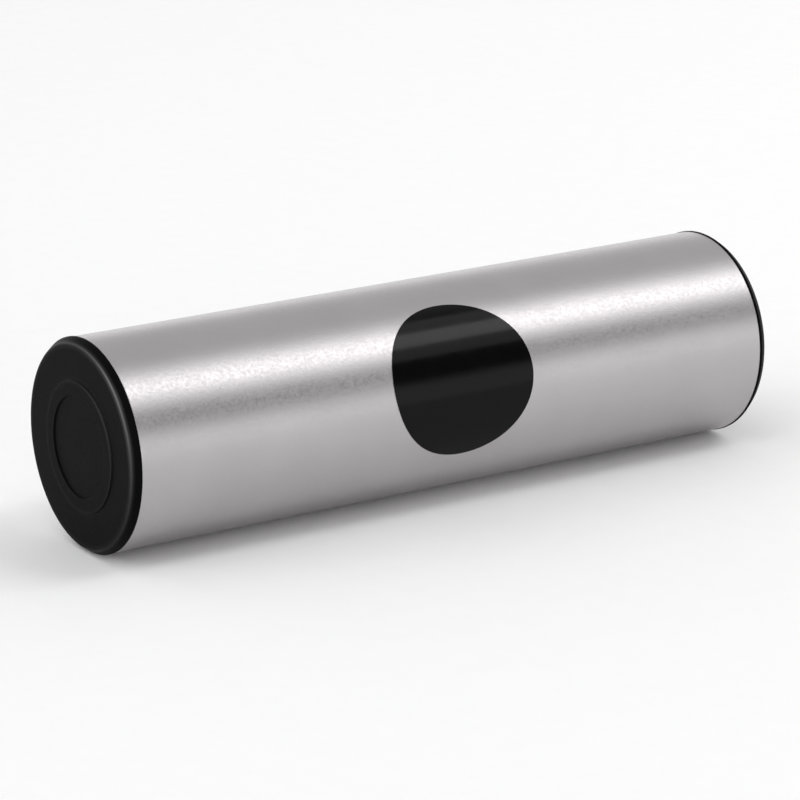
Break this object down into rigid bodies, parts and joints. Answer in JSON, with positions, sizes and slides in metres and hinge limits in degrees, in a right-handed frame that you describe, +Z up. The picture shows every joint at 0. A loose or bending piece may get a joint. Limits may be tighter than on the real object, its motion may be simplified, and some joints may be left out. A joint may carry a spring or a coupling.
{
  "type": "ganza shaker",
  "caption": "Hand-held tube shaker: a satin aluminium tube plugged by two bevelled black end caps, with a round sticker on its front and loose steel shot sealed inside.",
  "frame": {"origin": "under the middle of the tube, on the surface that the shaker lies on", "axes": "+X along the tube towards the right end cap, +Z up, and -Y towards the front that carries the sticker"},
  "size_m": [0.2142, 0.0604, 0.0604],
  "materials": {
    "tube_aluminium": "satin, bead blasted and clear anodised",
    "cap_plastic": "moulded, low sheen",
    "sticker_vinyl": "gloss vinyl film",
    "shot_steel": "ground and polished"
  },
  "bodies": {
    "shell": {"tube_shell": "tube_aluminium", "left_end_cap": "cap_plastic", "right_end_cap": "cap_plastic", "round_sticker": "sticker_vinyl"},
    "shot_row_1": {"shot_row_1": "shot_steel"},
    "shot_row_2": {"shot_row_2": "shot_steel"},
    "shot_row_3": {"shot_row_3": "shot_steel"},
    "shot_row_4": {"shot_row_4": "shot_steel"},
    "shot_row_5": {"shot_row_5": "shot_steel"},
    "shot_row_6": {"shot_row_6": "shot_steel"},
    "shot_row_7": {"shot_row_7": "shot_steel"},
    "shot_row_8": {"shot_row_8": "shot_steel"},
    "shot_row_9": {"shot_row_9": "shot_steel"}
  },
  "joints": [
    {"name": "shot_row_1_slide", "type": "slide", "parent": "shell", "child": "shot_row_1", "axis": [1, 0, 0], "range_m": [-0.063, 0.063]},
    {"name": "shot_row_2_slide", "type": "slide", "parent": "shell", "child": "shot_row_2", "axis": [1, 0, 0], "range_m": [-0.0655, 0.0655]},
    {"name": "shot_row_3_slide", "type": "slide", "parent": "shell", "child": "shot_row_3", "axis": [1, 0, 0], "range_m": [-0.063, 0.063]},
    {"name": "shot_row_4_slide", "type": "slide", "parent": "shell", "child": "shot_row_4", "axis": [1, 0, 0], "range_m": [-0.0655, 0.0655]},
    {"name": "shot_row_5_slide", "type": "slide", "parent": "shell", "child": "shot_row_5", "axis": [1, 0, 0], "range_m": [-0.063, 0.063]},
    {"name": "shot_row_6_slide", "type": "slide", "parent": "shell", "child": "shot_row_6", "axis": [1, 0, 0], "range_m": [-0.0655, 0.0655]},
    {"name": "shot_row_7_slide", "type": "slide", "parent": "shell", "child": "shot_row_7", "axis": [1, 0, 0], "range_m": [-0.063, 0.063]},
    {"name": "shot_row_8_slide", "type": "slide", "parent": "shell", "child": "shot_row_8", "axis": [1, 0, 0], "range_m": [-0.0655, 0.0655]},
    {"name": "shot_row_9_slide", "type": "slide", "parent": "shell", "child": "shot_row_9", "axis": [1, 0, 0], "range_m": [-0.063, 0.063]}
  ]
}
